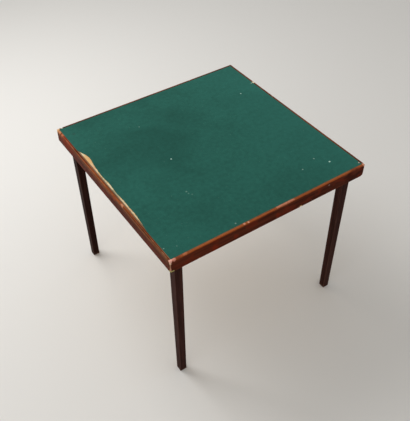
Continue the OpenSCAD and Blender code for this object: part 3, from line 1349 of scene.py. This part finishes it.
@dataclass
class Underframe:
    """What is screwed and glued under the top: blocks, strips, battens and hardware."""

    wood_arris: float = 0.6 * MM
    steel_arris: float = 0.3 * MM
    screw_arris: float = 0.1 * MM
    pieces: dict[str, Piece] = field(default_factory=dict)

    def build(self) -> None:
        """Models each kind of piece over its solid, and copies what repeats."""
        self._turn_round(CORNERS, "corner_block", self.wood_arris)
        self._turn_round(CORNERS, "bracket", self.steel_arris)
        self._turn_round(CORNERS, "pivot_pin", self.steel_arris)
        self._turn_round(SIDES, "glue_strip", self.wood_arris)
        for node in ("cross_batten", "long_batten"):
            self.pieces[node] = eased_from(node, f"{node}_made", self.wood_arris)
        for node in ("block_screws", "bracket_screws", "catch_screws"):
            self.pieces[node] = eased_from(node, f"{node}_made", self.screw_arris)

    def _turn_round(self, places: tuple[str, ...], kind: str, width: float) -> None:
        """Models the first piece of a kind and turns copies of it to every place.

        Args:
            places: The corners or sides, in the order of quarter turns.
            kind: The kind, as the solids' names end.
            width: How far the piece's edges are eased.
        """
        nodes = [f"{place}_{kind}" for place in places]
        first = eased_from(nodes[0], kind, width)
        copies = turned_round(first, [f"{node}_made" for node in nodes])
        self.pieces.update(zip(nodes, copies))

    def dress(self, wood: RawTimber, deal: RawTimber, metals: dict[str, Material]) -> None:
        """Finishes every piece and enters it.

        Args:
            wood: The wood of the corner blocks.
            deal: The wood of the battens and glue strips.
            metals: The metals, by name.
        """
        blocks = {axis: wood.make(f"block_wood_{axis.name.lower()}", axis)
                  for axis in (Axis.X, Axis.Y)}
        battens = {axis: deal.make(f"batten_deal_{axis.name.lower()}", axis)
                   for axis in (Axis.X, Axis.Y)}
        slots = {"bracket": "bracket_steel", "pivot_pin": "pin_steel",
                 "block_screws": "screw_brass", "bracket_screws": "screw_steel",
                 "catch_screws": "screw_steel"}
        for node, piece in self.pieces.items():
            if node.endswith(("batten", "glue_strip")):
                axis = Axis.Y if node.startswith(("cross", "left", "right")) else Axis.X
                enter(piece, battens[axis], TOP_BODY, "batten_wood", node)
            elif node.endswith("corner_block"):
                axis = Axis.Y if node.startswith(("front_left", "back_right")) else Axis.X
                enter(piece, blocks[axis], TOP_BODY, "block_wood", node)
            else:
                slot = next(s for kind, s in slots.items() if node.endswith(kind))
                enter(piece, metals[slot], TOP_BODY, slot, node)


@dataclass
class Studio:
    """A plain pale floor, soft light and the camera at the photograph's place."""

    target: Vector = field(default_factory=lambda: Vector((-0.19901, -0.28992, 0.7)))
    azimuth: float = math.radians(-33.737)
    elevation: float = math.radians(43.872)
    roll: float = math.radians(-0.594)
    distance: float = 2.16223
    lens: float = 54.62
    sensor: float = 36.0
    floor_side: float = 60.0
    floor_colour: str = "#e4e2de"
    sky: float = 0.6
    backdrop: float = 0.86
    aim: Point = (0.0, 0.0, 0.6)
    lamps: tuple[tuple[Point, float, float], ...] = (
        ((-0.9, 1.9, 2.6), 2.0, 56.0),
        ((-2.4, -1.2, 2.2), 2.0, 9.0),
    )

    def build(self) -> None:
        """Sets up the camera, the floor and the light."""
        self._camera()
        self._floor()
        self._light()
        bpy.context.scene.view_settings.view_transform = "Standard"

    def _camera(self) -> None:
        """Puts the camera where the photograph was taken from."""
        flat = math.cos(self.elevation)
        back = Vector((math.sin(self.azimuth) * flat, -math.cos(self.azimuth) * flat,
                       math.sin(self.elevation)))
        right = Vector((0, 0, 1)).cross(back).normalized()
        level = Matrix((right, back.cross(right), back)).transposed()
        data = bpy.data.cameras.new("camera")
        data.lens = self.lens
        data.sensor_width = self.sensor
        camera = linked("camera", data)
        turn = level @ Matrix.Rotation(self.roll, 3, "Z")
        camera.matrix_world = Matrix.LocRotScale(self.target + back * self.distance,
                                                 turn.to_quaternion(), None)
        bpy.context.scene.camera = camera

    def _floor(self) -> None:
        """Lays the floor, which is open to a look from below."""
        floor = add(bpy.ops.mesh.primitive_plane_add, "floor", size=self.floor_side)
        finish = Finish("floor_paper")
        finish.wear(Base_Color=self.floor_colour, Roughness=0.9, Specular_IOR_Level=0.1)
        under = finish.node("ShaderNodeNewGeometry", output="Backfacing")
        clear = finish.node("ShaderNodeBsdfTransparent")
        solid = Wire(finish, finish.shader.outputs[0])
        seen = finish.node("ShaderNodeMixShader", inputs={0: under, 1: solid, 2: clear})
        output = finish.tree.nodes["Material Output"]
        finish.feed(output.inputs["Surface"], seen)
        floor.data.materials.append(finish.material)

    def _light(self) -> None:
        """Hangs the lamps and lights the room evenly."""
        for index, (place, side, power) in enumerate(self.lamps):
            lamp = bpy.data.lights.new(f"lamp_{index}", "AREA")
            lamp.size = side
            lamp.energy = power
            hung = linked(lamp.name, lamp)
            hung.location = place
            look = Vector(self.aim) - Vector(place)
            hung.rotation_euler = look.to_track_quat("-Z", "Y").to_euler()
        world = bpy.context.scene.world or bpy.data.worlds.new("room")
        bpy.context.scene.world = world
        world.use_nodes = True
        graph = Graph(world.node_tree)
        rays = graph.node("ShaderNodeLightPath", output="Is Camera Ray")
        shown = rays.most(rays.beside("Is Glossy Ray")).most(rays.beside("Is Transmission Ray"))
        background = world.node_tree.nodes["Background"]
        graph.feed(background.inputs["Color"], "#f3f2f0")
        graph.feed(background.inputs["Strength"], shown * (self.backdrop - self.sky) + self.sky)


def in_metres(row: tuple[object, ...], lengths: int) -> tuple[object, ...]:
    """Turns the first values of a row, its lengths, from millimetres into metres."""
    return (*(length * MM for length in row[:lengths]), *row[lengths:])


def rail_knocks_and_highlights(foot: float) -> dict[str, list[KnockOrHighlight]]:
    """Lists the knocked places of each rail and the highlights painted on them, as the
    photograph shows them.

    Each row has x, y, z, radius and depth in millimetres, a colour, and at times a strength.

    Args:
        foot: The height of the rails' lower edge in millimetres.

    Returns:
        The knocked places and painted highlights by side; one at a corner stands under both of
        its rails.
    """
    tan, red = "#cfa275", "#792a17"
    front_left = [
        # Bare wood and a painted highlight on the front left corner's top.
        (-417, -418, 699, 9, 0.9, "#e8ac98"),
        (-419, -419, 689, 5, 0, "#e3c2a4"),
        (-419, -400, foot + 1, 4, 0, "#7c7446"),
        (-410, -419, foot + 1, 7, 0, "#a39a62"),
        (-418, -418, foot + 1, 7, 0.7, "#a89c60"),
    ]
    front_right = [
        (417, -418, 699, 9, 0.8, "#d7967a"),
        (419, -419, foot, 12, 2, "#4a2015", 0.4),
    ]
    back_left = [
        (-417, 416, 699, 11, 0.8, tan),
        (-400, 416.5, 700, 5, 0, "#dcdccc"),
    ]
    front = [
        (-405, -418, 700, 9, 0, "#dd9480", 0.85),
        (-386, -418, 700, 11, 0, "#7e3f2a", 0.8),
        (-362, -417, 700, 9, 0, "#c67650", 0.6),
        (-127, -417, 700, 4.6, 0.5, "#d38c6e"),
        (-111, -418, 700, 3.6, 0.3, "#e3a284"),
        # Painted highlight: a row of pale pink spots along the front rim, just inside its outer
        # edge.
        *((x, -416.5, 700, 6.5, 0, "#d08c70", 0.55) for x in range(12, 83, 7)),
        (120, -420, foot, 7, 0.8, "#d0a26c"),
        (247, -420, 685, 4, 0.3, "#8a6f66"),
        (-127, -420, 679, 6, 0, "#5b3423", 0.7),
        (-127, -420, 679, 2.6, 0.4, "#1d0d08"),
        (-248, -420, 659, 15, 0, red, 0.7),
        (-163, -420, 666, 13, 0, red, 0.6),
        (16, -420, 664, 14, 0, red, 0.6),
        (-310, -418, foot, 5, 0.4, "#8f5a38"),
        (372, -418, 700, 34, 0, "#84402a", 0.6),
        (360, -420, 668, 40, 0, "#2b130d", 0.5),
    ]
    left = [
        (-417, 325, 699, 58, 0, "#86331f", 0.6),
        (-418, 395, 699, 10, 0, "#c9875f", 0.8),
        (-418, 372, 699, 9, 0, "#c07550", 0.7),
        (-420, 310, foot, 6, 0.5, "#9c6a44"),
        (-419, -108, 699, 9, 0, "#cf9270", 0.6),
        (-420, -50, 688, 12, 0, "#96452c", 0.6),
    ]
    right = [
        (414, 247, 700, 10, 0, "#3a2416", 0.6),
        (414, 247, 700, 6, 0.5, "#e6d3b0"),
        (419, 120, 699, 5, 0.5, "#a86c45"),
        (419, -220, foot, 6, 0.5, "#a0693f"),
    ]
    back = [(200, 419, 699, 5, 0.4, "#a0693f")]
    rows = {"front": front + front_left + front_right, "right": right + front_right,
            "back": back + back_left, "left": left + front_left + back_left}
    return {side: [KnockOrHighlight(*in_metres(row, 5)) for row in rows[side]] for side in rows}


def baize_specks() -> tuple[Speck, ...]:
    """Lists the spots on the baize, as the photograph shows them, in millimetres."""
    rows = (
        (-148, 9, 3.6), (320, 209, 3.2, 0.8), (323, -335, 4.2, 1.0), (287, -289, 3, 0.5),
        (213, -313, 3, 0.45), (-146, 249, 2.6, 0.35), (-199, -174, 4, 0.45, "#7fa596"),
        (-198, -186, 3.4, 0.35, "#7fa596"), (-190, -197, 3.4, 0.3, "#7fa596"),
        (-150, -398, 3.6, 0.3), (-365, -374, 2.8, 0.16), (-406, -360, 3, 0.36),
        (407, -400, 3.4, 0.8, "#d8bba8"), (404, 247, 3.4, 0.6, "#cbd0ba"),
        (-377, 353, 9, 0.35, "#2a3f38"),
    )
    return tuple(Speck(*in_metres(row, 3)) for row in rows)


def main() -> None:
    """Builds the table's sub-assemblies in order and dresses each."""
    logging.basicConfig(level=logging.INFO, format="%(name)s: %(message)s")
    Studio().build()

    mahogany = Timber("#35140b", "#4e2113", "#632d1c", figure=30.0)
    stain = Timber("#26150f", "#371f1b", "#4a2d26", figure=60.0, streaks=420.0)
    beech = Timber("#9a6c3f", "#b98a58", "#cda271")
    deal = Timber("#b98750", "#d2a56c", "#e2bf8d", figure=45.0, streaks=130.0, run=0.02)
    birch = Timber("#c79f68", "#dcbc8a", "#e8cfa4", figure=14.0, streaks=120.0)

    top = PlayingTop()
    top.build()
    panel_low, panel_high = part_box("panel")
    top.dress(PanelFinish(birch, panel_high.z, panel_low.x).make("bare_birch"),
              BaizeFinish(baize_specks(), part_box("baize")[1].z).make("green_baize"))

    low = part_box("front_rail")[0].z
    rails = TopFrame(knocks_and_highlights=rail_knocks_and_highlights(low / MM))
    rails.build()
    rails.dress(RailFinish(mahogany, low), {
        "front": Rubbing(arris=1.0, over=7.0, down=9.0, lines=0.3),
        "right": Rubbing(arris=0.22, over=5.0, down=6.0, lines=0.2),
        "back": Rubbing(arris=0.1, over=5.0, down=6.0, lines=0.2),
        "left": Rubbing(arris=0.9, over=3.1, down=30.0, lines=0.8, ends=0.75),
    })

    legs = Legs()
    legs.build()
    legs.dress(stain)

    catches = Catches()
    catches.build()
    catches.dress(Metal("#4b5058", "#353a44", "#5a4436", 0.02, 0.32).make("blued_spring"))

    under = Underframe()
    under.build()
    under.dress(RawTimber(beech), RawTimber(deal), {
        "bracket_steel": Metal("#8f8c85", "#6f6c66", "#6b4226", 0.1, 0.38).make("dull_zinc"),
        "pin_steel": Metal("#7f7c75", "#67645e", "#5d3b24", 0.06, 0.34).make("riveted_steel"),
        "screw_steel": Metal("#7a7771", "#5f5c57", "#6b4226", 0.08, 0.36).make("screw_steel"),
        "screw_brass": Metal("#b39553", "#8b7340", "#5c4a26", 0.05, 0.34).make("old_brass"),
    })


if __name__ == "__main__":
    main()
